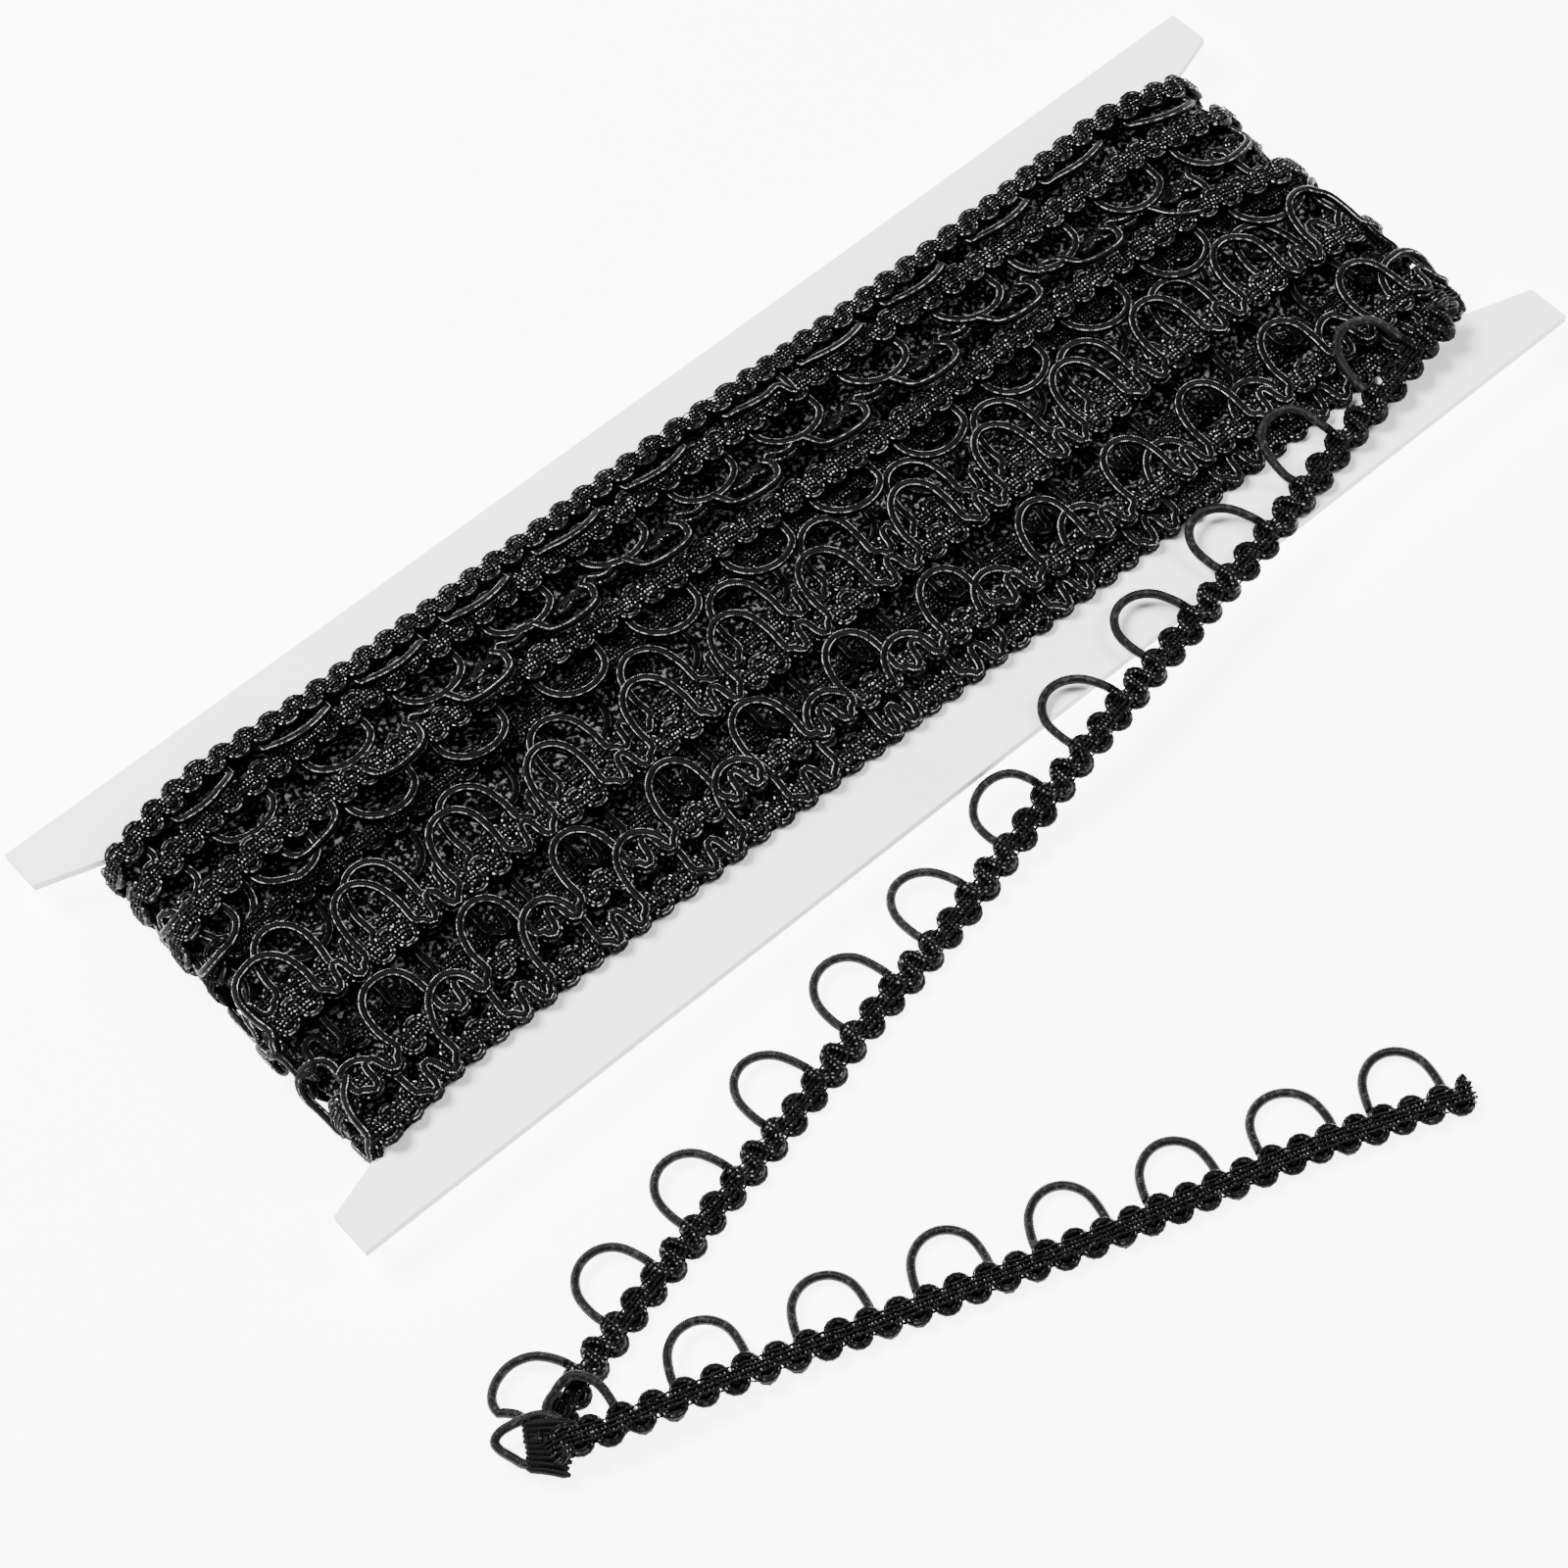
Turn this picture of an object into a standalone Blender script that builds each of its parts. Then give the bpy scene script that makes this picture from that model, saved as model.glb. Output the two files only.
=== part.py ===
"""Gimp braid trim with button loops, wound lengthwise on a notched card, one end lying loose.

Frame: the origin is on the surface the part rests on, under the middle of the card. X runs along the card,
Y across it and Z up. Every size and place below is in millimetres. The meshes are made in metres.
"""
import math
from collections import namedtuple

import bmesh
import bpy
import numpy as np

MM = 0.001

# Card
CARD_LENGTH = 240.0
CARD_WIDTH = 89.5
CARD_THICKNESS = 1.5
CARD_UNDERSIDE = 5.3
PRONG_END = 7.4
PRONG_ROOT = 12.2
NOTCH_DEPTH = 14.0

# Braid: a flat gimp braid with scallops along both edges and a row of open loops along one
BRAID_WIDTH = 6.0
BRAID_THICKNESS = 2.2
SCALLOP_PITCH = 4.6
SCALLOP_DEPTH = 0.55
FACE_SHARE = 0.62
LOOP_CORD = 1.25
LOOP_BASE = 10.4
LOOP_RISE = 7.3

# Winding
GAP = 0.3
WAIST_X = CARD_LENGTH / 2 - NOTCH_DEPTH
CAVITY_TOP = CARD_UNDERSIDE + CARD_THICKNESS + GAP
CAVITY_UNDERSIDE = CARD_UNDERSIDE - GAP
CAVITY_RADIUS = (CAVITY_TOP - CAVITY_UNDERSIDE) / 2
CAVITY_MIDDLE = (CAVITY_TOP + CAVITY_UNDERSIDE) / 2
CROWN_HALF = 1.9
VALLEY_ON_TOP = 1.5
VALLEY_ROUND_ENDS = 1.1
VALLEY_UNDER = 1.2
SIDE_BUMP = 0.8
TOP_CELLS = 48
END_CELLS = 5
UNDER_CELLS = 7

# Places across the winding, along +Y and -Y, of its two long sides
SIDE_TOP = (35.0, -32.8)
SIDE_ENDS = (31.9, -31.9)
SIDE_UNDER = (33.2, -32.6)
SIDE_BULGE_HEIGHT = 1.4
SIDE_TUCK = 1.2

# Columns along X where a row's place across is given, and where its height is given
PLACE_X = (-106.0, -92.0, -35.0, 35.0, 92.0, 106.0)
HEIGHT_X = (-92.0, 0.0, 92.0)
END_TAPER_X = 98.0

# Strand rows over the card, from the +Y side to the -Y side: places across at PLACE_X, heights of the crown
# over the cavity at HEIGHT_X, how much the -Y side of the crown stands over its +Y side, the height round
# the ends, and the place and height underneath
Row = namedtuple("Row", "place height tilt end_height under_place under_height")
ROWS = {
    "first": Row((29.4, 32.2, 32.6, 32.4, 32.6, 29.6), (3.9, 3.9, 3.9), 1.2, 3.6, 29.2, 4.2),
    "second": Row((23.0, 25.2, 26.6, 26.0, 24.6, 22.6), (5.0, 5.2, 5.0), 0.3, 4.2, 22.0, 5.0),
    "on_edge": Row((18.6, 20.8, 18.4, 17.0, 16.4, 16.2), (4.2, 4.9, 4.6), 0.0, 4.0, 14.8, 5.0),
    "third": Row((13.6, 16.2, 13.4, 10.4, 9.6, 9.4), (5.3, 5.4, 5.3), 0.0, 4.3, 7.6, 5.0),
    "lower_a": Row((5.6, 6.8, 5.0, 3.4, 3.0, 2.8), (3.7, 3.6, 3.4), 0.0, 3.8, 0.4, 5.0),
    "fifth": Row((-3.4, -3.6, -4.4, -4.8, -4.6, -4.0), (3.9, 3.9, 3.9), 0.0, 4.0, -5.8, 5.0),
    "sixth": Row((-9.8, -9.8, -10.6, -11.0, -10.8, -10.4), (5.3, 5.2, 5.3), 0.0, 4.2, -11.8, 5.0),
    "lower_b": Row((-16.8, -17.0, -18.0, -18.6, -19.0, -18.4), (3.0, 3.2, 3.4), 0.0, 3.6, -17.8, 5.0),
    "seventh": Row((-23.2, -23.4, -24.4, -25.6, -26.4, -25.0), (5.1, 5.3, 5.4), 0.0, 4.0, -23.8, 5.0),
    "eighth": Row((-29.2, -30.0, -30.4, -30.6, -31.2, -29.8), (2.9, 2.7, 1.9), -0.8, 3.0, -29.4, 4.2),
}

# Loops that lie on the winding: the row they leave, the way they point along Y, where the first stands
# along X, their pitch and their number
LoopRow = namedtuple("LoopRow", "row way first pitch count")
WOUND_LOOPS = (
    LoopRow("first", -1, -93.1, 17.70, 12),
    LoopRow("second", -1, -90.6, 17.59, 12),
    LoopRow("third", -1, -90.6, 17.42, 12),
    LoopRow("sixth", 1, -104.0, 17.20, 13),
    LoopRow("seventh", 1, -93.4, 17.49, 12),
)
WOUND_LOOP_FOOT = 2.4
WOUND_LOOP_RISE = 6.0
WOUND_LOOP_CLEARANCE = 0.1
WOUND_LOOP_POINTS = 7

# Route of the loose end's middle line: from the winding over the card's edge to the fold, and back
UPPER_ROUTE = (
    (106.4, -34.2, 11.0),
    (98.5, -35.1, 10.9),
    (91.7, -36.5, 10.3),
    (84.2, -37.8, 9.4),
    (73.5, -39.7, 8.5),
    (65.2, -41.8, 8.3),
    (56.9, -43.7, 8.3),
    (36.0, -47.6, 8.3),
    (15.4, -51.7, 8.0),
    (5.6, -53.3, 6.2),
    (-4.1, -54.9, 3.8),
    (-13.4, -56.6, 2.0),
    (-24.4, -59.1, 1.15),
    (-40.8, -62.2, 1.1),
    (-57.1, -66.0, 1.1),
    (-73.8, -69.6, 1.1),
    (-90.5, -73.2, 1.1),
    (-104.3, -76.6, 1.1),
    (-111.2, -78.9, 1.1),
    (-117.2, -82.0, 1.1),
)
LOWER_ROUTE = (
    (-117.0, -85.0, 3.8),
    (-112.2, -87.0, 3.8),
    (-103.4, -89.8, 3.6),
    (-90.5, -93.6, 2.3),
    (-73.6, -99.4, 1.2),
    (-56.8, -105.4, 1.1),
    (-44.0, -110.0, 1.1),
    (-30.0, -114.6, 1.1),
    (-12.9, -119.9, 1.1),
    (-0.7, -124.6, 1.1),
    (13.0, -130.1, 1.1),
)
FOLD_RADIUS = 1.35
FOLD_REACH = 1.75
FOLD_STEPS = 6
FOLD_BLEND = 5.0
CUT_END_FLARE = 1.18
TIP_WIDTH = 0.45

# Loops of the loose end: where each stands along X, how far its top reaches past the braid's edge, and
# how much higher than the braid it lies
LooseLoop = namedtuple("LooseLoop", "x rise lift")
UPPER_LOOPS = (
    LooseLoop(90.9, 6.8, 4.0),
    LooseLoop(71.3, 7.0, 3.0),
    LooseLoop(51.6, 6.2, 0.2),
    LooseLoop(32.5, LOOP_RISE, 0.0),
    LooseLoop(14.4, LOOP_RISE, 0.0),
    LooseLoop(-3.6, LOOP_RISE, 0.0),
    LooseLoop(-22.0, LOOP_RISE, 0.0),
    LooseLoop(-40.2, LOOP_RISE, 0.0),
    LooseLoop(-58.8, LOOP_RISE, 0.0),
    LooseLoop(-77.6, LOOP_RISE, 0.0),
    LooseLoop(-95.3, LOOP_RISE, 0.0),
    LooseLoop(-113.0, LOOP_RISE, 0.0),
)
LOWER_LOOPS = (
    LooseLoop(-109.6, LOOP_RISE, 0.6),
    LooseLoop(-94.6, LOOP_RISE, -0.4),
    LooseLoop(-78.2, LOOP_RISE, -0.2),
    LooseLoop(-61.4, LOOP_RISE, 0.0),
    LooseLoop(-44.7, LOOP_RISE, 0.0),
    LooseLoop(-28.3, LOOP_RISE, 0.0),
    LooseLoop(-11.4, LOOP_RISE, 0.0),
    LooseLoop(4.2, LOOP_RISE, 0.0),
)
LOOSE_LOOP_POINTS = 8
LOOP_ROOT_ANGLE = 20.0

# Finishes: base colour and roughness
TRIM_COLOUR = (0.012, 0.012, 0.013)
TRIM_ROUGHNESS = 0.7
CARD_COLOUR = (0.86, 0.86, 0.85)
CARD_ROUGHNESS = 0.45


def clear_scene():
    """Remove every object that the file opened with."""
    for thing in list(bpy.data.objects):
        bpy.data.objects.remove(thing)


def new_collection(name):
    """A collection of this name under the scene's own."""
    collection = bpy.data.collections.new(name)
    bpy.context.scene.collection.children.link(collection)
    return collection


def make_material(name, colour, roughness):
    """A Principled BSDF of one colour and roughness."""
    material = bpy.data.materials.new(name)
    material.use_nodes = True
    shader = material.node_tree.nodes["Principled BSDF"]
    shader.inputs["Base Color"].default_value = (*colour, 1.0)
    shader.inputs["Roughness"].default_value = roughness
    shader.inputs["Metallic"].default_value = 0.0
    return material


def mesh_object(name, vertices, faces, material, collection):
    """One object from points in millimetres and faces of their numbers."""
    mesh = bpy.data.meshes.new(name)
    mesh.from_pydata([tuple(MM * value for value in point) for point in vertices], [], faces)
    mesh.validate()
    mesh.materials.append(material)
    thing = bpy.data.objects.new(name, mesh)
    collection.objects.link(thing)
    return thing


def smooth_path(points, step):
    """Points about a step apart on one smooth curve through the given points."""
    points = np.array(points, dtype=float)
    before = 2 * points[0] - points[1]
    after = 2 * points[-1] - points[-2]
    controls = np.vstack([before, points, after])
    dense = []
    for index in range(1, len(controls) - 2):
        p0, p1, p2, p3 = controls[index - 1:index + 3]
        for t in np.linspace(0.0, 1.0, 24, endpoint=False):
            along = 2 * p1 + (p2 - p0) * t
            bend = (2 * p0 - 5 * p1 + 4 * p2 - p3) * t ** 2
            twist = (3 * p1 - p0 - 3 * p2 + p3) * t ** 3
            dense.append(0.5 * (along + bend + twist))
    dense.append(points[-1])
    dense = np.array(dense)
    lengths = np.concatenate([[0.0], np.cumsum(np.linalg.norm(np.diff(dense, axis=0), axis=1))])
    count = max(2, round(lengths[-1] / step) + 1)
    places = np.linspace(0.0, lengths[-1], count)
    return np.column_stack([np.interp(places, lengths, dense[:, axis]) for axis in range(3)])


def make_card(material, collection):
    """The card: a rectangle with a notch in each end, the trim wound between its four prongs."""
    half_length = CARD_LENGTH / 2
    half_width = CARD_WIDTH / 2
    quarter = [
        (half_length, half_width - PRONG_END),
        (half_length, half_width),
    ]
    notch = (WAIST_X, half_width - PRONG_ROOT)
    right = [(notch[0], -notch[1]), notch, *quarter]
    left = [(-x, -y) for x, y in right]
    mirrored = [(-half_length, half_width), (-half_length, half_width - PRONG_END)]
    outline = right + mirrored + [(-notch[0], notch[1]), (-notch[0], -notch[1])]
    outline += left[2:] + [(half_length, -half_width), (half_length, -half_width + PRONG_END)]

    curve = bpy.data.curves.new("card_outline", "CURVE")
    curve.dimensions = "2D"
    curve.fill_mode = "BOTH"
    curve.extrude = CARD_THICKNESS / 2 * MM
    spline = curve.splines.new("POLY")
    spline.points.add(len(outline) - 1)
    for point, (x, y) in zip(spline.points, outline):
        point.co = (x * MM, y * MM, 0.0, 1.0)
    spline.use_cyclic_u = True
    curve.materials.append(material)
    card = bpy.data.objects.new("card", curve)
    card.location.z = (CARD_UNDERSIDE + CARD_THICKNESS / 2) * MM
    collection.objects.link(card)
    return card


Station = namedtuple("Station", "x z out_x out_z x_on_card round_end under")


def winding_stations():
    """Places along the winding: over the card, round its +X end, back underneath and round its -X end."""
    stations = []
    for x in np.linspace(-WAIST_X, WAIST_X, TOP_CELLS + 1):
        stations.append(Station(x, CAVITY_TOP, 0.0, 1.0, x, 0.0, 0.0))
    for side in (1, -1):
        for step in range(1, END_CELLS):
            share = step / END_CELLS
            angle = math.radians(90.0 - 180.0 * share)
            out_x, out_z = side * math.cos(angle), side * math.sin(angle)
            middle = (side * WAIST_X, CAVITY_MIDDLE)
            under = share if side == 1 else 1.0 - share
            stations.append(Station(
                middle[0] + CAVITY_RADIUS * out_x, middle[1] + CAVITY_RADIUS * out_z,
                out_x, out_z, middle[0], 1.0 - abs(2 * share - 1.0), under,
            ))
        if side == 1:
            for x in np.linspace(WAIST_X, -WAIST_X, UNDER_CELLS + 1):
                stations.append(Station(x, CAVITY_UNDERSIDE, 0.0, -1.0, x, 0.0, 1.0))
    return stations


def blend(top, end, under, station):
    """A value between what it is on top, round an end and underneath."""
    flat = top + (under - top) * station.under
    return flat + (end - flat) * station.round_end


def section(station):
    """Places across the winding and heights over its cavity at a station, from the +Y side to the -Y side."""
    near_end = np.interp(abs(station.x_on_card), (END_TAPER_X, WAIST_X), (0.0, 1.0))
    places, heights = [], []
    crowns = []
    for row in ROWS.values():
        top_place = np.interp(station.x_on_card, PLACE_X, row.place)
        place = top_place + (row.under_place - top_place) * station.under
        top_height = np.interp(station.x_on_card, HEIGHT_X, row.height)
        top_height += (row.end_height + 0.5 - top_height) * near_end
        height = blend(top_height, row.end_height, row.under_height, station)
        tilt = row.tilt * (1.0 - near_end) * (1.0 - station.under)
        crowns.append((place + CROWN_HALF, height - tilt / 2))
        crowns.append((place - CROWN_HALF, height + tilt / 2))
    valley = blend(VALLEY_ON_TOP, VALLEY_ROUND_ENDS, VALLEY_UNDER, station)
    sides = []
    for side in range(2):
        wide = SIDE_TOP[side] + (SIDE_ENDS[side] - SIDE_TOP[side]) * near_end
        sides.append(wide + (SIDE_UNDER[side] - wide) * station.under * (1.0 - near_end))
    places += [sides[0] - SIDE_TUCK, sides[0]]
    heights += [0.0, SIDE_BULGE_HEIGHT]
    for index, (place, height) in enumerate(crowns):
        places.append(place)
        heights.append(height)
        after_row = index % 2 == 1 and index < len(crowns) - 1
        if after_row:
            next_place, next_height = crowns[index + 1]
            places.append((place + next_place) / 2)
            heights.append(min(height, next_height) - valley)
    places += [sides[1], sides[1] + SIDE_TUCK]
    heights += [SIDE_BULGE_HEIGHT, 0.0]
    return np.array(places), np.array(heights)


def strip_faces(first, second):
    """Faces between two closed rings of point numbers, the second with as many points or twice as many."""
    faces = []
    twice = len(second) // len(first)
    for index in range(len(first)):
        start = index * twice
        across = [second[(start + step) % len(second)] for step in range(twice + 1)]
        faces.append([first[(index + 1) % len(first)], first[index], *across])
    return faces


def make_winding(material, collection, guides):
    """The wound trim: one belt round the card's waist, with its strand rows, scalloped sides and loops."""
    stations = winding_stations()
    sections = [section(station) for station in stations]
    count = len(sections[0][0])
    bulges = {1: 1.0, count - 2: -1.0}

    def place(index, row):
        station = stations[index]
        across, height = sections[index][0][row], sections[index][1][row]
        return np.array([station.x + station.out_x * height, across, station.z + station.out_z * height])

    vertices = []
    rings = []
    for row in range(count):
        ring = []
        for index in range(len(stations)):
            ring.append(len(vertices))
            vertices.append(place(index, row))
            if row in bulges:
                following = place((index + 1) % len(stations), row)
                halfway = (vertices[-1] + following) / 2
                bulge_here = SIDE_BUMP if index < TOP_CELLS else 0.0
                halfway[1] += bulges[row] * bulge_here
                ring.append(len(vertices))
                vertices.append(halfway)
        rings.append(ring)

    faces = []
    for row in range(count):
        first, second = rings[row], rings[(row + 1) % count]
        if len(first) > len(second):
            faces += [face[::-1] for face in strip_faces(second, first)]
        else:
            faces += strip_faces(first, second)
    winding = mesh_object("winding", vertices, faces, material, collection)
    for loops in WOUND_LOOPS:
        arcs = [wound_loop(loops, number) for number in range(loops.count)]
        join_cords(winding, f"loops_{loops.row}", arcs, 0, guides)
    return winding


def surface_height(x, y):
    """Height of the winding's top over the resting surface at a place on it."""
    station = Station(x, CAVITY_TOP, 0.0, 1.0, x, 0.0, 0.0)
    places, heights = section(station)
    return CAVITY_TOP + np.interp(y, places[::-1], heights[::-1])


def loop_arc(points):
    """Places along and out from a loop's base for a half ellipse whose ends run on into the braid."""
    angles = np.radians(np.linspace(-LOOP_ROOT_ANGLE, 180.0 + LOOP_ROOT_ANGLE, points))
    return np.cos(angles), np.sin(angles)


def wound_loop(loops, number):
    """Middle line of one loop that lies over the winding."""
    row = ROWS[loops.row]
    x_middle = loops.first + loops.pitch * number
    edge = np.interp(x_middle, PLACE_X, row.place) + loops.way * WOUND_LOOP_FOOT
    base_height = surface_height(x_middle, edge - loops.way * LOOP_CORD / 2)
    top = edge + loops.way * WOUND_LOOP_RISE
    seat = max(surface_height(x_middle, top + shift) for shift in np.linspace(-LOOP_CORD, LOOP_CORD, 5))
    top_height = seat + LOOP_CORD / 2 + WOUND_LOOP_CLEARANCE
    along, out = loop_arc(WOUND_LOOP_POINTS)
    arc = []
    for a, o in zip(along, out):
        share = max(0.0, o)
        height = base_height + (max(top_height, base_height) - base_height) * share
        arc.append((x_middle + a * LOOP_BASE / 2, edge + loops.way * WOUND_LOOP_RISE * o, height))
    return arc


def join_cords(body, name, lines, resolution, guides):
    """Join round cords along the given lines to a body with one union."""
    curve = bpy.data.curves.new(name, "CURVE")
    curve.dimensions = "3D"
    curve.bevel_depth = LOOP_CORD / 2 * MM
    curve.bevel_resolution = resolution
    curve.use_fill_caps = True
    for line in lines:
        spline = curve.splines.new("POLY")
        spline.points.add(len(line) - 1)
        for point, place in zip(spline.points, line):
            point.co = (*[value * MM for value in place], 1.0)
    cord = bpy.data.objects.new(name + "_curve", curve)
    guides.objects.link(cord)
    depsgraph = bpy.context.evaluated_depsgraph_get()
    mesh = bpy.data.meshes.new_from_object(cord.evaluated_get(depsgraph))
    shape = bmesh.new()
    shape.from_mesh(mesh)
    bmesh.ops.remove_doubles(shape, verts=shape.verts, dist=0.01 * MM)
    shape.to_mesh(mesh)
    shape.free()
    guide = bpy.data.objects.new(name, mesh)
    guide.matrix_world = cord.matrix_world
    guide.hide_render = True
    guide.display_type = "WIRE"
    guides.objects.link(guide)
    bpy.data.objects.remove(cord)
    union = body.modifiers.new(name, "BOOLEAN")
    union.operation = "UNION"
    union.solver = "EXACT"
    union.object = guide


def loose_route():
    """The loose end's middle line, and the angle across it that the loops point to, at every station."""
    half_scallop = SCALLOP_PITCH / 2
    upper = smooth_path(UPPER_ROUTE, half_scallop)
    lower = smooth_path(LOWER_ROUTE, half_scallop)
    low, high = upper[-1], lower[0]
    bend = []
    for step in range(1, FOLD_STEPS):
        turn = math.pi * step / FOLD_STEPS
        share = (1.0 - math.cos(turn)) / 2
        point = low + (high - low) * share
        point[0] -= FOLD_REACH * math.sin(turn)
        point[2] = (low[2] + high[2]) / 2 - FOLD_RADIUS * math.cos(turn)
        bend.append(point)
    line = np.vstack([upper, bend, lower])

    def across_angle(path, way):
        step = np.gradient(path[:, :2], axis=0)
        return np.degrees(np.arctan2(way * step[:, 0], -way * step[:, 1]))

    lengths = np.concatenate([[0.0], np.cumsum(np.linalg.norm(np.diff(line, axis=0), axis=1))])
    angles = np.concatenate([
        across_angle(upper, -1), np.full(len(bend), 90.0), across_angle(lower, 1),
    ])
    fold_at = lengths[len(upper) + len(bend) // 2]
    outside = np.abs(lengths - fold_at) > FOLD_BLEND
    angles = np.interp(lengths, lengths[outside], angles[outside])
    return line, lengths, np.radians(angles)


def loose_frames():
    """Middle line, lengths, and the across and face directions at every station of the loose end."""
    line, lengths, angles = loose_route()
    forward = np.gradient(line, axis=0)
    forward /= np.linalg.norm(forward, axis=1)[:, None]
    across = np.column_stack([np.cos(angles), np.sin(angles), np.zeros(len(angles))])
    face = np.cross(across, forward)
    face /= np.linalg.norm(face, axis=1)[:, None]
    across = np.cross(forward, face)
    return line, lengths, across, face


def make_loose_end(material, collection, guides):
    """The loose end: a flat scalloped braid along its route, joined with its open loops."""
    line, lengths, across, face = loose_frames()
    waves = np.where(np.arange(len(lengths)) % 2 == 0, 1.0, -1.0)
    steps = np.gradient(lengths)
    waves[steps < SCALLOP_PITCH / 4] = 0.0
    widths = np.ones(len(lengths))
    widths[0] = TIP_WIDTH
    widths[-1] = CUT_END_FLARE
    vertices = []
    for point, out, up, wave, width in zip(line, across, face, waves, widths):
        near = (BRAID_WIDTH / 2 + SCALLOP_DEPTH * wave) * width
        far = (BRAID_WIDTH / 2 - SCALLOP_DEPTH * wave) * width
        thick = BRAID_THICKNESS / 2
        for side, height in (
            (near, 0.0), (near * FACE_SHARE, thick), (-far * FACE_SHARE, thick),
            (-far, 0.0), (-far * FACE_SHARE, -thick), (near * FACE_SHARE, -thick),
        ):
            corner = point + out * side + up * height
            corner[2] = max(corner[2], 0.0)
            vertices.append(corner)
    corners = 6
    faces = [list(range(corners)), [len(vertices) - 1 - corner for corner in range(corners)]]
    for station in range(len(line) - 1):
        for corner in range(corners):
            following = (corner + 1) % corners
            first = station * corners
            second = first + corners
            faces.append([first + corner, second + corner, second + following, first + following])
    loose_end = mesh_object("loose_end", vertices, faces, material, collection)
    for name, loops, way in (("loops_out", UPPER_LOOPS, -1), ("loops_back", LOWER_LOOPS, 1)):
        arcs = [loose_loop(loop, way) for loop in loops]
        join_cords(loose_end, name, arcs, 1, guides)
    return loose_end


def loose_loop(loop, way):
    """Middle line of one open loop on the loose end's outgoing (way -1) or returning (way 1) run."""
    line, lengths, across, face = loose_frames()
    turned = int(np.argmin(line[:, 0]))
    run = slice(0, turned) if way < 0 else slice(turned, len(line))
    station = run.start + int(np.argmin(np.abs(line[run, 0] - loop.x)))
    along, out = loop_arc(LOOSE_LOOP_POINTS)
    arc = []
    for a, o in zip(along, out):
        place = lengths[station] + a * LOOP_BASE / 2
        point = np.array([np.interp(place, lengths, line[:, axis]) for axis in range(3)])
        direction = across[station]
        point = point + direction * (BRAID_WIDTH / 2 + loop.rise * o)
        point[2] += loop.lift * math.sqrt(max(0.0, o))
        arc.append(tuple(point))
    return arc


def main():
    clear_scene()
    parts = new_collection("gimp_braid_trim_on_card")
    guides = new_collection("guides")
    trim = make_material("trim_yarn", TRIM_COLOUR, TRIM_ROUGHNESS)
    board = make_material("card_board", CARD_COLOUR, CARD_ROUGHNESS)
    make_card(board, parts)
    make_winding(trim, parts, guides)
    make_loose_end(trim, parts, guides)


main()
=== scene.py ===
"""The looks of a looped gimp braid trim on its winding card: every strand built from its cords and stitches.

Sizes and places are in millimetres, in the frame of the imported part, and meshes are made in metres.
"""
import math
from collections import namedtuple

import bpy
import numpy as np
from mathutils import Matrix, Vector


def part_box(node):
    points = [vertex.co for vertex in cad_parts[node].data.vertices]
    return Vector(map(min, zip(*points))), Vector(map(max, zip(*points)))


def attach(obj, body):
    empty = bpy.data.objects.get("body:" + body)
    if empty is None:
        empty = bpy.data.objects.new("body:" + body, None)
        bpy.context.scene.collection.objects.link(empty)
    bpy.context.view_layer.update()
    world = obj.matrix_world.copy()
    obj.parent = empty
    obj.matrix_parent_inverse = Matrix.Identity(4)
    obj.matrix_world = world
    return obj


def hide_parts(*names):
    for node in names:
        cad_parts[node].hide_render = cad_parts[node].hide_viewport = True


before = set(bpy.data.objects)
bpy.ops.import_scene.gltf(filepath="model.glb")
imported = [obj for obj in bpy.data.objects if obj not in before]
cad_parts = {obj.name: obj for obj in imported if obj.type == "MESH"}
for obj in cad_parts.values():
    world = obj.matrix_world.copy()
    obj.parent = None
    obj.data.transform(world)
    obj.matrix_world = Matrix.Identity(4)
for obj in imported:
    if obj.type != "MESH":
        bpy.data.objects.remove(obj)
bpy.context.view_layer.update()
MM = 0.001
rng = np.random.default_rng(7)

# Card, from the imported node
CARD_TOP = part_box("card")[1][2] / MM
CARD_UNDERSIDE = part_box("card")[0][2] / MM
CARD_MIDDLE = (CARD_TOP + CARD_UNDERSIDE) / 2
WAIST_X = 106.0

# Braid: a serpentine of ground yarns side by side, a loop cord laid on its face, and rows of chain stitches
BRAID_WIDTH = 6.0
CORD = 1.48
WAVES = 4
GROUND_YARN = 1.3
GROUND_OFFSETS = (-0.62, 0.62)
GROUND_REACH = 1.72
GROUND_SWING = 0.27
GROUND_DEPTH = -0.42
GROUND_WOBBLE = 0.05
GROUND_WOBBLE_RATE = 1.7
LOOP_DEPTH = 0.62
LOOP_HEIGHT = 7.45
LOOP_HALF = 5.3
ROW_SPACING = 0.72
STITCH_ROWS = (-1.08, -0.36, 0.36, 1.08)
STITCH_PITCH = 2.2
STITCH_YARN = 0.27
STITCH_SPREAD = 0.11
STITCH_SIDES = 4
SINGLE_PLY = 1.15
FLOOR_GAP = 0.02

# A loop's outline between its legs: share of its half width, and share of its height
LOOP_OUTLINE = ((-0.87, 0.58), (-0.5, 0.89), (0.0, 1.0), (0.5, 0.89), (0.87, 0.58))
LEG_SPREAD = 0.1
LEG_RISE = 0.6
LOOP_LEAN = 0.5
LOOP_FOOT = 0.4

# Between two loops the cord keeps to the braid: an arch with a valley on each side, from this far before the
# middle on. Its outline: share of a quarter wave along, and how far short of its full reach.
ARCH_START = 3.0
ARCH_REACH = 2.15
VALLEY_REACH = -2.05
ARCH_OUTLINE = ((-0.86, 1.1), (-0.5, 0.25), (0.0, 0.0), (0.5, 0.25), (0.86, 1.1))

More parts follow.
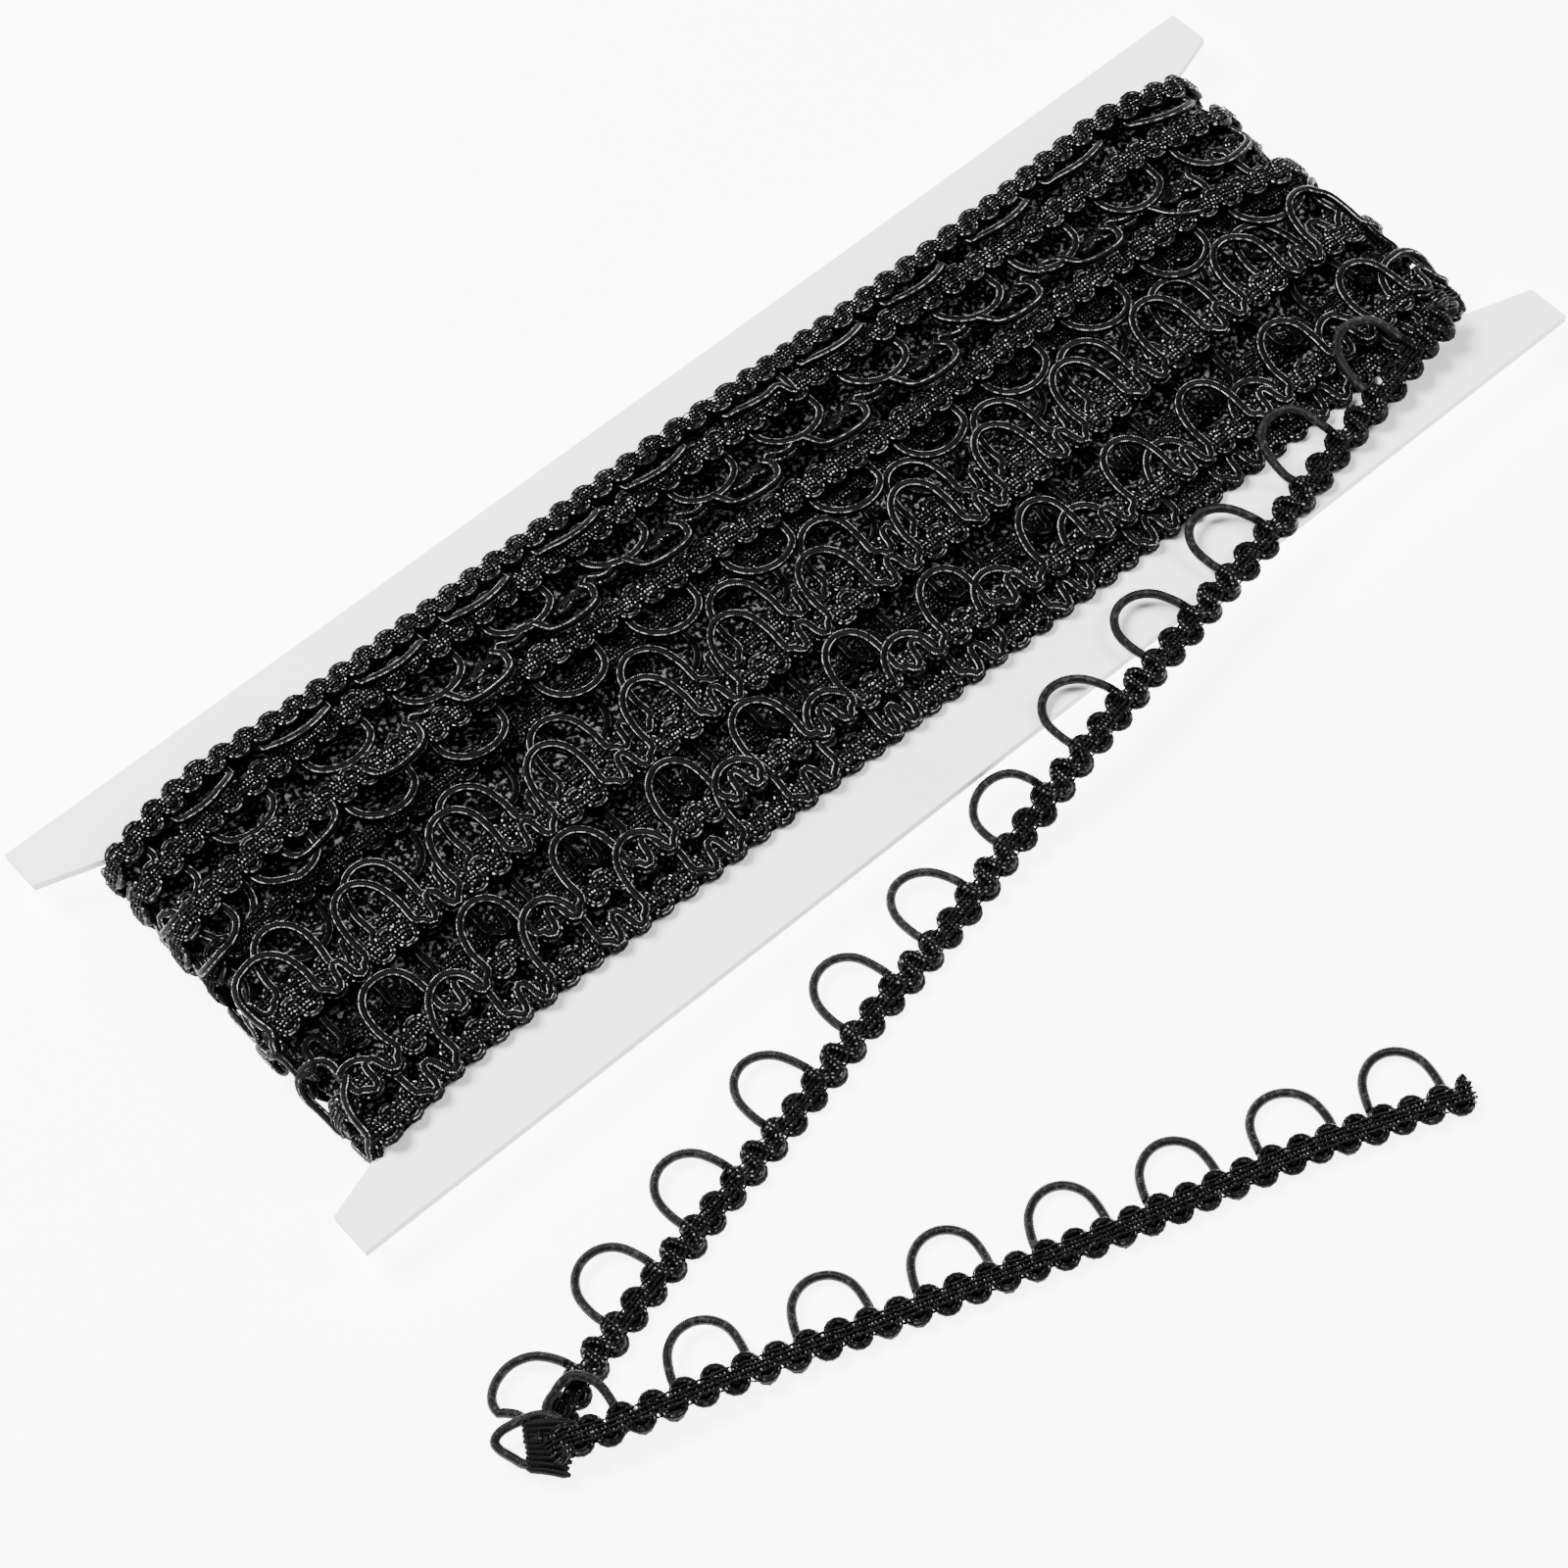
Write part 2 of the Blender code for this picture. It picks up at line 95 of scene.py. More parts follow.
# Chain stitches: clearance over the ground, rise of each stitch, twist and wander of its plies, and how far
# beside a crossing of the loop cord, and how deep in its top, they pass over it
STITCH_CLEARANCE = 0.03
STITCH_RISE = 0.14
STITCH_TWIST = 0.07
STITCH_WANDER = 0.06
STITCH_WANDER_RATE = 0.9
STITCH_WANDER_PHASE = 2.1
STITCH_PHASE = 0.5
STITCH_OVER_LEG = 0.62
STITCH_BITE = 0.05

# One loop on a strand: its place along it, half its width, its reach to a full loop, and how its top rests
Loop = namedtuple("Loop", "place half reach rest")

# Slots of the materials on each woven piece, the spacing of the wraps, and how fine the painted flecks of
# light are
CORD_SLOT = 0
STITCH_SLOT = 1
LOOP_SLOT = 2
WRAP_SPACING = 0.32
FLECK_SCALE = 1300.0

# How finely each yarn is drawn: steps for each pitch, and sides
Fineness = namedtuple("Fineness", "ground_steps ground_sides loop_steps loop_sides stitch_steps plies")
LOOSE = Fineness(18, 9, 64, 9, 5, 2)
FINE = Fineness(16, 7, 44, 8, 5, 1)
PLAIN = Fineness(8, 5, 24, 6, 3, 1)

# Columns along X for a row's place across and for its height
PLACE_X = (-106.0, -92.0, -70.0, -35.0, 0.0, 35.0, 70.0, 92.0, 106.0)
HEIGHT_X = (-92.0, -50.0, 0.0, 50.0, 92.0)
END_TAPER_X = 98.0
UNDER_HEIGHT = 1.3
ROLL_TAPER_X = 86.0
UNDER_TAPER_X = 80.0
TOP_STEPS = 240
END_STEPS = 26
UNDER_STEPS = 160

# Heights over the card's middle: where a row's roll is full, where its top starts, where its loops are on top
# and where its yarns are drawn fine
ROLL_HEIGHT = 3.0
TOP_HEIGHT = 1.0
LOOPS_HEIGHT = 2.0
FINE_HEIGHT = -2.5

# Strand rows, from the +Y side of the card to its -Y side. deep: in the shade of its neighbours. way: where
# the loops point along Y. face: 1 where the front is outward, -1 where the back is. roll: degrees that the
# row's +Y edge is turned down. place: across, at PLACE_X. height: of the middle line over the floor, at
# HEIGHT_X. end: radius round the ends. under: place across underneath. half: half a loop's width. reach:
# length of the loops at the -X and +X ends, to a full loop. rest: how far the loops' tops lie outward of the
# loop cord. loops: X of the loops on top.
# Rows marked deep get the darker, shaded yarns: painted shade.
Row = namedtuple("Row", "name place height roll way face loops half reach rest end under deep")
ROWS = (
    Row(
        name="first", deep=False, way=-1, face=-1, roll=15,
        place=(30.4, 33.2, 32.2, 32.2, 32.5, 31.6, 31.9, 33.0, 30.7),
        height=(11.0, 10.9, 11.0, 10.9, 11.0), end=3.9, under=29.2,
        half=5.5, reach=(0.46, 0.42), rest=1.9,
        loops=(-93.1, -75.3, -57.5, -41.0, -23.0, -5.1, 15.2, 30.5, 47.9, 66.3, 82.9, 101.6),
    ),
    Row(
        name="second", deep=False, way=-1, face=-1, roll=2,
        place=(23.4, 26.4, 26.7, 27.0, 26.7, 25.8, 24.0, 23.7, 21.3),
        height=(10.5, 10.6, 10.7, 10.8, 10.8), end=4.1, under=22.0,
        half=5.3, reach=(0.62, 0.85), rest=1.2,
        loops=(-90.6, -72.5, -55.0, -37.5, -18.9, -0.7, 16.1, 33.6, 52.6, 68.5, 86.6, 102.9),
    ),
    Row(
        name="on_edge", deep=False, way=-1, face=1, roll=42,
        place=(16.4, 17.0, 18.4, 20.1, 19.0, 17.0, 17.3, 15.6, 14.6),
        height=(8.4, 9.9, 10.2, 10.1, 8.6), end=3.7, under=14.8,
        half=5.0, reach=(0.7, 0.7), rest=-1.6,
        loops=(-85.0, -67.4, -49.8, -32.2, -14.6, 3.0, 20.6, 38.2, 55.8, 73.4, 91.0),
    ),
    Row(
        name="third", deep=False, way=-1, face=-1, roll=-3,
        place=(14.0, 16.3, 15.7, 13.0, 10.5, 8.9, 9.5, 8.3, 5.2),
        height=(11.1, 11.1, 11.1, 11.1, 11.1), end=4.3, under=7.6,
        half=5.3, reach=(0.72, 0.78), rest=1.3,
        loops=(-90.6, -72.5, -56.2, -38.1, -20.7, -3.0, 14.3, 31.0, 48.5, 66.0, 82.9, 101.0),
    ),
    Row(
        name="lower_a", deep=True, way=-1, face=-1, roll=0,
        place=(6.5, 7.6, 7.8, 7.4, 7.0, 6.6, 6.3, 5.6, 3.0),
        height=(8.7, 8.6, 8.6, 8.6, 8.5), end=3.5, under=0.4,
        half=5.0, reach=(0.9, 0.9), rest=0.2,
        loops=(-96.0, -78.4, -60.8, -43.2, -25.6, -8.0, 9.6, 27.2, 44.8, 62.4, 80.0, 97.6),
    ),
    Row(
        name="fifth", deep=False, way=1, face=1, roll=0,
        place=(-5.0, -6.2, -5.3, -4.7, -4.6, -6.3, -7.4, -8.6, -7.0),
        height=(9.1, 9.1, 9.1, 9.1, 9.1), end=3.7, under=-4.8,
        half=4.6, reach=(0.95, 0.88), rest=0.9,
        loops=(-100.6, -83.7, -65.0, -47.5, -29.8, -12.3, 4.9, 22.4, 39.9, 57.6, 76.0, 94.0),
    ),
    Row(
        name="sixth", deep=False, way=1, face=1, roll=-4,
        place=(-9.2, -9.7, -9.4, -10.5, -10.8, -11.5, -10.2, -9.9, -11.1),
        height=(11.1, 11.1, 11.0, 11.1, 11.1), end=4.6, under=-11.8,
        half=4.5, reach=(1.0, 1.0), rest=0.5,
        loops=(-104.7, -87.5, -70.0, -52.2, -34.0, -17.0, 0.5, 18.6, 35.8, 52.9, 70.4, 87.9, 103.5),
    ),
    Row(
        name="lower_b", deep=True, way=1, face=1, roll=4,
        place=(-16.8, -17.0, -17.0, -17.4, -17.8, -18.6, -18.6, -19.0, -18.4),
        height=(8.2, 8.2, 8.3, 8.3, 8.4), end=4.4, under=-17.8,
        half=4.8, reach=(0.8, 0.8), rest=0.2,
        loops=(-98.0, -80.4, -62.8, -45.2, -27.6, -10.0, 7.6, 25.2, 42.8, 60.4, 78.0, 95.6),
    ),
    Row(
        name="seventh", deep=False, way=1, face=1, roll=-5,
        place=(-26.0, -23.9, -23.3, -24.2, -25.0, -26.8, -27.0, -27.2, -26.2),
        height=(10.9, 11.1, 11.1, 11.0, 11.0), end=4.3, under=-23.8,
        half=4.4, reach=(0.95, 0.9), rest=0.5,
        loops=(-93.4, -76.0, -58.4, -41.0, -24.8, -7.0, 10.8, 30.2, 48.2, 63.8, 81.0, 99.0),
    ),
    Row(
        name="eighth", deep=False, way=1, face=1, roll=-14,
        place=(-32.3, -29.7, -29.5, -29.8, -30.2, -30.9, -31.1, -31.2, -29.8),
        height=(8.9, 8.7, 8.6, 8.4, 8.2), end=3.5, under=-29.4,
        half=4.5, reach=(0.95, 0.9), rest=1.3,
        loops=(-87.0, -69.3, -51.6, -33.0, -15.0, 0.0, 18.0, 35.5, 53.0, 71.0, 90.0, 106.0),
    ),
)

# Loops vary a little in reach and rest. Those round the ends and underneath lie flatter and shorter.
REACH_RANGE = (0.96, 1.04)
REST_SPREAD = 0.15
UNDER_REST = 0.2
UNDER_REACH = 0.75
STRAND_GAP = 0.2

# Route of the loose end's middle line: from the winding over the card's edge to the fold, and back
UPPER_ROUTE = (
    (106.4, -34.2, 11.0),
    (98.5, -35.1, 10.9),
    (91.7, -36.5, 10.3),
    (84.2, -37.8, 9.4),
    (73.5, -39.7, 8.5),
    (65.2, -41.8, 8.3),
    (56.9, -43.7, 8.3),
    (36.0, -47.6, 8.3),
    (15.4, -51.7, 8.0),
    (5.6, -53.3, 6.2),
    (-4.1, -54.9, 3.8),
    (-13.4, -56.6, 2.0),
    (-24.4, -59.1, 1.15),
    (-40.8, -62.2, 1.1),
    (-57.1, -66.0, 1.1),
    (-73.8, -69.6, 1.1),
    (-90.5, -73.2, 1.1),
    (-104.3, -76.6, 1.1),
    (-111.2, -78.9, 1.1),
    (-117.2, -82.0, 1.1),
)
LOWER_ROUTE = (
    (-117.0, -85.0, 3.8),
    (-112.2, -87.0, 3.8),
    (-103.4, -89.8, 3.6),
    (-90.5, -93.6, 2.3),
    (-73.6, -99.4, 1.2),
    (-56.8, -105.4, 1.1),
    (-44.0, -110.0, 1.1),
    (-30.0, -114.6, 1.1),
    (-12.9, -119.9, 1.1),
    (-0.7, -124.6, 1.1),
    (13.0, -130.1, 1.1),
)
LOOSE_STEP = 0.6
FOLD_RADIUS = 1.35
FOLD_REACH = 1.75
FOLD_BLEND = 5.0
FOLD_STEPS = 14
LOOP_PITCH = 17.8
UPPER_LOOPS_X = (90.9, 71.3, 51.6, 32.5, 14.4, -3.6, -22.0, -40.2, -58.8, -77.6, -95.3, -113.0)
LOWER_LOOPS_X = (-113.4, -95.6, -78.2, -61.4, -44.7, -28.3, -11.4, 4.2)
LOOSE_LIFTS = {0: 3.6, 1: 2.8, 2: 0.4}
TIP_LENGTH = 4.5
TIP_WIDTH = 0.25
CUT_END_LENGTH = 3.0
CUT_END_FLARE = 1.18
CUT_GAP = 0.3
HIDDEN_LOOP_REACH = -0.15
CARD_EDGE_LOOP = 6
CARD_EDGE_REACH = 0.82
FOLD_LOOP_HALF = 4.3
FOLD_LOOP_REACH = 0.9
FOLD_LOOP = (
    (-115.2, -81.6, 2.9),
    (-115.8, -80.2, 3.3),
    (-117.4, -78.8, 3.4),
    (-120.0, -77.8, 3.2),
    (-122.3, -77.3, 2.9),
    (-123.7, -77.8, 2.6),
    (-123.9, -79.1, 2.4),
    (-123.3, -81.2, 2.3),
    (-122.6, -83.2, 2.4),
    (-120.6, -84.6, 2.6),
    (-118.4, -84.6, 2.8),
)
FOLD_LOOP_STEP = 0.25

# Short yarns side by side over the fold, from its edge to its foot, with uneven ends
FOLD_EDGE = ((-119.4, -79.0, 3.5), (-123.0, -83.6, 2.3))
FOLD_FOOT = ((-114.2, -83.6, 4.0), (-119.2, -88.4, 2.3))
FOLD_YARNS = 9
FOLD_YARN_RISE = 0.5
FOLD_YARN_STEP = 0.3
FOLD_START_SHIFT = (-0.25, 0.25)
FOLD_END_SHIFT = (-0.1, 0.7)
FOLD_YARN_TAPER = ((0.0, 0.1, 0.85, 1.0), (0.5, 1.0, 1.0, 0.4))

# Inner turns: a dark belt over the card, under the rows that show, and round its ends
CORE_HEIGHT = 1.0
CORE_END_ROOM = 1.15
CORE_STEPS = 60
CORE_END_STEPS = 10
CORE_LINES = 64
CORE_SIDES_UNDERNEATH = (-31.0, 31.0)
CORE_SIDES_PAST_ROWS = (-1.6, 2.5)
CORE_WAVE = 0.3
CORE_WAVE_PITCH = 5.9
CORE_SHOULDER = ((27.0, 30.5), (0.0, 0.9))
CORE_EDGE = -0.9

# Yarn finishes: darkest tone, brightest tone of the painted highlights, kind of painted highlight on it,
# roughness, gloss and sheen
FinishAndHighlight = namedtuple("FinishAndHighlight", "name dark bright kind roughness gloss sheen")
WOUND_FINISHES = (
    FinishAndHighlight("black_gimp_yarn", 0.0004, 1.0, "ground", 0.45, 0.06, 0.0),
    FinishAndHighlight("black_stitch_yarn", 0.0005, 0.01, "plain", 0.45, 0.08, 0.01),
    FinishAndHighlight("black_loop_cord", 0.0005, 0.75, "cord", 0.45, 0.05, 0.0),
)
LOOSE_FINISHES = (
    FinishAndHighlight("loose_gimp_yarn", 0.0004, 0.2, "ground", 0.45, 0.06, 0.0),
    FinishAndHighlight("loose_loop_cord", 0.0012, 0.02, "plain", 0.45, 0.12, 0.01),
)
# Inner turns: the yarn's own black made darker still as painted shade, with faint painted glints
CORE_FINISH = FinishAndHighlight("inner_shadow_yarn", 0.0003, 0.08, "plain", 0.8, 0.02, 0.0)
# Darker copies of the wound yarns, with dimmer painted highlights, for rows in the shade of their neighbours:
# painted shade
SHADED_FINISHES = (
    FinishAndHighlight("shaded_gimp_yarn", 0.0003, 0.3, "ground", 0.6, 0.03, 0.0),
    FinishAndHighlight("shaded_stitch_yarn", 0.0003, 0.01, "plain", 0.6, 0.06, 0.0),
    FinishAndHighlight("shaded_loop_cord", 0.0004, 0.12, "cord", 0.55, 0.03, 0.0),
)

# Painted highlights on a yarn, in its base colour: a line stands at a turn round the yarn, and each range is
# from, to, and what they become
GROUND_LINE = 0.87
GROUND_LINE_FADE = (0.05, 0.1, 1.0, 0.0)
GROUND_CREST = (-0.35, 0.3, 0.0, 1.0)
GROUND_INSIDE = (1.7, 2.2, 1.0, 0.12)
CORD_LINE = 0.72
CORD_LINE_FADE = (0.04, 0.1, 1.0, 0.0)
CORD_DOTS = (0.25, 0.7, 0.15, 1.0)
PATCHES = (0.44, 0.6, 0.06, 1.0)
GLINT_STREAKS = (0.54, 0.68, 0.0, 1.0)

# Card: two tones of white, and the grey of painted shade on its cut edge
CARD_TONES = ((0.80, 0.80, 0.795, 1.0), (0.86, 0.86, 0.855, 1.0))
CARD_EDGE_SHADE = (0.33, 0.33, 0.33, 1.0)

# Lamps: name, place and size in metres, and power
LAMPS = (
    ("key", (-0.4, 0.6, 1.1), 0.6, 70.0),
    ("fill", (0.8, -0.5, 0.9), 0.5, 25.0),
)
FLOOR_REACH = 3.0
FLOOR_DROP = 0.0003
FLOOR_GLOW = 6.0
SKY_GLOW = 0.35

# Camera fitted to the card's corners in the photo
CAMERA_PLACE = (-212.10, -303.72, 524.1)
CAMERA_RIGHT = (0.7570, -0.6489, -0.0768)
CAMERA_UP = (0.5799, 0.6130, 0.5366)
CAMERA_BACK = (-0.3011, -0.4508, 0.8403)
CAMERA_LENS = 95.0


def smooth_path(points, step):
    """Points about a step apart on one smooth curve through the given points."""
    points = np.array(points, dtype=float)
    before = 2 * points[0] - points[1]
    after = 2 * points[-1] - points[-2]
    controls = np.vstack([before, points, after])
    dense = []
    for index in range(1, len(controls) - 2):
        p0, p1, p2, p3 = controls[index - 1:index + 3]
        for t in np.linspace(0.0, 1.0, 24, endpoint=False):
            along = 2 * p1 + (p2 - p0) * t
            bend = (2 * p0 - 5 * p1 + 4 * p2 - p3) * t ** 2
            twist = (3 * p1 - p0 - 3 * p2 + p3) * t ** 3
            dense.append(0.5 * (along + bend + twist))
    dense.append(points[-1])
    dense = np.array(dense)
    lengths = arc_lengths(dense)
    count = max(2, round(lengths[-1] / step) + 1)
    places = np.linspace(0.0, lengths[-1], count)
    return np.column_stack([np.interp(places, lengths, dense[:, axis]) for axis in range(dense.shape[1])])


def arc_lengths(line):
    """Length along a line at each of its points."""
    return np.concatenate([[0.0], np.cumsum(np.linalg.norm(np.diff(line, axis=0), axis=1))])


def unit(vectors):
    """Each vector at length 1."""
    return vectors / np.maximum(np.linalg.norm(vectors, axis=-1, keepdims=True), 1e-9)


class Strand:
    """A braid's route, with the direction across it that its loops point to and the way its front faces."""

    def __init__(self, line, across, face):
        self.line = np.array(line)
        self.lengths = arc_lengths(self.line)
        forward = unit(np.gradient(self.line, axis=0))
        self.across = unit(across - (across * forward).sum(axis=1)[:, None] * forward)
        flat = np.cross(forward, self.across)
        sign = np.sign((flat * face).sum(axis=1))[:, None]
        self.face = flat * np.where(sign == 0, 1.0, sign)

    def at(self, values, places):
        return np.column_stack([np.interp(places, self.lengths, values[:, axis]) for axis in range(3)])

    def put(self, along, out, height, thickness):
        """World points and face for a yarn's places along the braid, out across it and up from its middle.

        The yarn is kept on the floor where it would sink into it.
        """
        face = unit(self.at(self.face, along))
        across = self.at(self.across, along)
        points = self.at(self.line, along) + across * out[:, None] + face * height[:, None]
        points[:, 2] = np.maximum(points[:, 2], thickness / 2 + FLOOR_GAP)
        return points, face


class Yarns:
    """Round yarns collected into one mesh.

    UV coordinates: yarn is the length along a yarn and the turn round it, braid the place across the braid.
    """

    def __init__(self):
        self.points, self.corners, self.totals, self.slots = [], [], [], []
        self.yarn_uvs, self.braid_uvs = [], []
        self.count = 0

    def add(self, line, up, thickness, sides, slot, out=None):
        line = np.asarray(line)
        forward = unit(np.gradient(line, axis=0))
        side = unit(up - (up * forward).sum(axis=1)[:, None] * forward)
        other = np.cross(forward, side)
        turn = np.linspace(0.0, 2 * math.pi, sides, endpoint=False)
        cosines, sines = np.cos(turn)[None, :, None], np.sin(turn)[None, :, None]
        ring = side[:, None, :] * cosines + other[:, None, :] * sines
        radius = np.broadcast_to(np.asarray(thickness) / 2, (len(line),))
        points = line[:, None, :] + ring * radius[:, None, None]
        self.points.append(points.reshape(-1, 3))
        steps = len(line) - 1
        first = np.arange(steps)[:, None] * sides + np.arange(sides)[None, :] + self.count
        after = np.arange(steps)[:, None] * sides + (np.arange(sides)[None, :] + 1) % sides + self.count
        quads = np.stack([first, after, after + sides, first + sides], axis=-1).reshape(-1)
        length = arc_lengths(line)
        u0 = np.repeat(length[:-1, None], sides, axis=1)
        u1 = np.repeat(length[1:, None], sides, axis=1)
        v0 = np.repeat(np.arange(sides)[None, :] / sides, steps, axis=0)
        v1 = v0 + 1.0 / sides
        yarn = np.stack([u0, v0, u0, v1, u1, v1, u1, v0], axis=-1).reshape(-1, 2)
        out = np.zeros(len(line)) if out is None else out
        here = np.repeat(out[:-1, None], sides, axis=1)
        later = np.repeat(out[1:, None], sides, axis=1)
        braid = np.stack([here, u0, here, u0, later, u1, later, u1], axis=-1).reshape(-1, 2)
        caps = np.concatenate([
            self.count + np.arange(sides)[::-1],
            self.count + steps * sides + np.arange(sides),
        ])
        self.corners += [quads, caps]
        self.totals += [np.full(steps * sides, 4), np.full(2, sides)]
        self.yarn_uvs += [yarn, np.zeros((2 * sides, 2))]
        self.braid_uvs += [braid, np.zeros((2 * sides, 2))]
        slots = np.broadcast_to(slot, (steps,))
        self.slots += [np.repeat(slots, sides), slots[[0, -1]]]
        self.count += len(line) * sides

    def build(self, name, materials):
        """The collected yarns as one object, in metres."""
        mesh = bpy.data.meshes.new(name)
        points = np.concatenate(self.points) * MM
        corners = np.concatenate(self.corners)
        totals = np.concatenate(self.totals)
        mesh.vertices.add(len(points))
        mesh.vertices.foreach_set("co", points.ravel())
        mesh.loops.add(len(corners))
        mesh.loops.foreach_set("vertex_index", corners.astype(np.int32))
        mesh.polygons.add(len(totals))
        starts = np.concatenate([[0], np.cumsum(totals)[:-1]])
        mesh.polygons.foreach_set("loop_start", starts.astype(np.int32))
        mesh.polygons.foreach_set("loop_total", totals.astype(np.int32))
        mesh.polygons.foreach_set("material_index", np.concatenate(self.slots).astype(np.int32))
        for layer_name, uvs in (("yarn", self.yarn_uvs), ("braid", self.braid_uvs)):
            layer = mesh.uv_layers.new(name=layer_name)
            layer.data.foreach_set("uv", np.concatenate(uvs).ravel())
        mesh.update(calc_edges=True)
        mesh.validate()
        mesh.polygons.foreach_set("use_smooth", np.ones(len(mesh.polygons), dtype=bool))
        for material in materials:
            mesh.materials.append(material)
        thing = bpy.data.objects.new(name, mesh)
        bpy.context.scene.collection.objects.link(thing)
        return thing


def ground_lines(start, end, places, steps):
    """Places along and across for each serpentine ground yarn, with whole waves from loop to loop."""
    turns = np.arange(0.0, (len(places) - 1) * WAVES, 1.0 / steps)
    along = np.interp(turns, np.arange(len(places)) * WAVES, places)
    along = along + GROUND_SWING * np.sin(4 * math.pi * turns)
    wobble = 1.0 + GROUND_WOBBLE * np.sin(turns * GROUND_WOBBLE_RATE)
    out = GROUND_REACH * np.cos(2 * math.pi * turns) * wobble
    course = unit(np.column_stack([np.gradient(along), np.gradient(out)]))
    for offset in GROUND_OFFSETS:
        beside = along - course[:, 1] * offset
        across = out + course[:, 0] * offset
        keep = (beside >= start) & (beside <= end)
        yield beside[keep], across[keep]


def loop_shape(pitch, half):
    """The loop cord's course through one pitch, from a loop's left leg on: places along and out."""
    wave = pitch / WAVES
    leg = wave / 4
    edge = BRAID_WIDTH / 2
    course = [(-half, 0.0), (-half - LEG_SPREAD, edge + LEG_RISE)]
    course += [(half * across, edge + up * LOOP_HEIGHT) for across, up in LOOP_OUTLINE]
    course += [(half + LEG_SPREAD, edge + LEG_RISE), (half, 0.0)]
    for turn, reach in ((1.5, VALLEY_REACH), (2.0, ARCH_REACH), (2.5, VALLEY_REACH)):
        place = turn * wave
        way = 1 if reach > 0 else -1
        if turn != 1.5:
            course.append((place - leg, 0.0))
        course += [(place + leg * across, reach - way * short) for across, short in ARCH_OUTLINE]
    return course


def loop_course(loops, start, end, steps):
    """The loop cord's whole course through its loops: places along, out and up."""
    controls = []
    edge = BRAID_WIDTH / 2
    for loop, after in zip(loops, loops[1:]):
        pitch = after.place - loop.place
        lean = rng.uniform(-LOOP_LEAN, LOOP_LEAN)
        for along, out in loop_shape(pitch, loop.half):
            in_arch = along > pitch / 2 - ARCH_START
            past = 0.0 if in_arch else max(0.0, out - edge) / LOOP_HEIGHT
            height = LOOP_DEPTH + loop.rest * math.sin(min(1.0, past) * math.pi / 2)
            reach = out if past == 0.0 else edge + past * LOOP_HEIGHT * loop.reach
            controls.append((loop.place + along + lean * past, reach, height))
    step = arc_lengths(np.array(controls))[-1] / (len(loops) * steps)
    course = smooth_path(controls, step)
    keep = (course[:, 0] >= start) & (course[:, 0] <= end)
    return course[keep]


def stitch_lines(start, end, fineness, leg_places, face):
    """Chain stitches: each ply's places along, out and up, on the front (face 1) or the back (face -1)."""
    steps = int((end - start) / STITCH_PITCH * fineness.stitch_steps)
    along = np.linspace(start, end, steps)
    over = 0.5 - 0.5 * np.cos(2 * math.pi * along / STITCH_PITCH)
    for row, out in enumerate(STITCH_ROWS):
        height = np.full(steps, GROUND_DEPTH + face * (GROUND_YARN / 2 + STITCH_CLEARANCE))
        height = height + face * STITCH_RISE * over
        if face > 0:
            near = np.exp(-((along[:, None] - leg_places[None, :]) / STITCH_OVER_LEG) ** 2).max(axis=1)
            height = height + near * (LOOP_DEPTH + CORD / 2 - height - STITCH_BITE)
        for ply in range(fineness.plies):
            side = 1 if ply == 0 else -1
            swing = side * STITCH_SPREAD * np.cos(math.pi * along / STITCH_PITCH * 2 + row * STITCH_PHASE)
            wander = STITCH_WANDER * np.sin(along * STITCH_WANDER_RATE + row * STITCH_WANDER_PHASE)
            twist = face * STITCH_TWIST * side * np.sin(math.pi * along / STITCH_PITCH)
            yield along, out + swing + wander, height + twist


def weave(braid, loop_yarns, strand, span, loops, stretches, faces, width=None, inner_slot=LOOP_SLOT):
    """Add a strand's ground yarns, loop cord and stitches, each stretch of it at its own fineness."""
    places = [loop.place for loop in loops]
    width = width or (lambda along: np.ones(len(along)))
    for start, end, fineness in stretches:
        for along, out in ground_lines(start, end, places, fineness.ground_steps):
            height = np.full(len(along), GROUND_DEPTH)
            points, up = strand.put(along, out * width(along), height, GROUND_YARN)
            braid.add(points, up, GROUND_YARN, fineness.ground_sides, CORD_SLOT, out)
    start, end, fineness = span
    course = loop_course(loops, start, end, fineness.loop_steps)
    points, up = strand.put(course[:, 0], course[:, 1], course[:, 2], CORD)
    slots = np.where(course[:-1, 1] > BRAID_WIDTH / 2 - LOOP_FOOT, LOOP_SLOT, inner_slot)
    loop_yarns.add(points, up, CORD, fineness.loop_sides, slots, course[:, 1])
    crossings = course[np.where(np.diff(np.sign(course[:, 1])) != 0)[0], 0]
    for face in faces:
        for start, end, fineness in stretches:
            for along, out, height in stitch_lines(start, end, fineness, crossings, face):
                thickness = STITCH_YARN * (1.0 if fineness.plies == 2 else SINGLE_PLY)
                points, up = strand.put(along, out * width(along), height, thickness)
                braid.add(points, up, thickness, STITCH_SIDES, STITCH_SLOT)


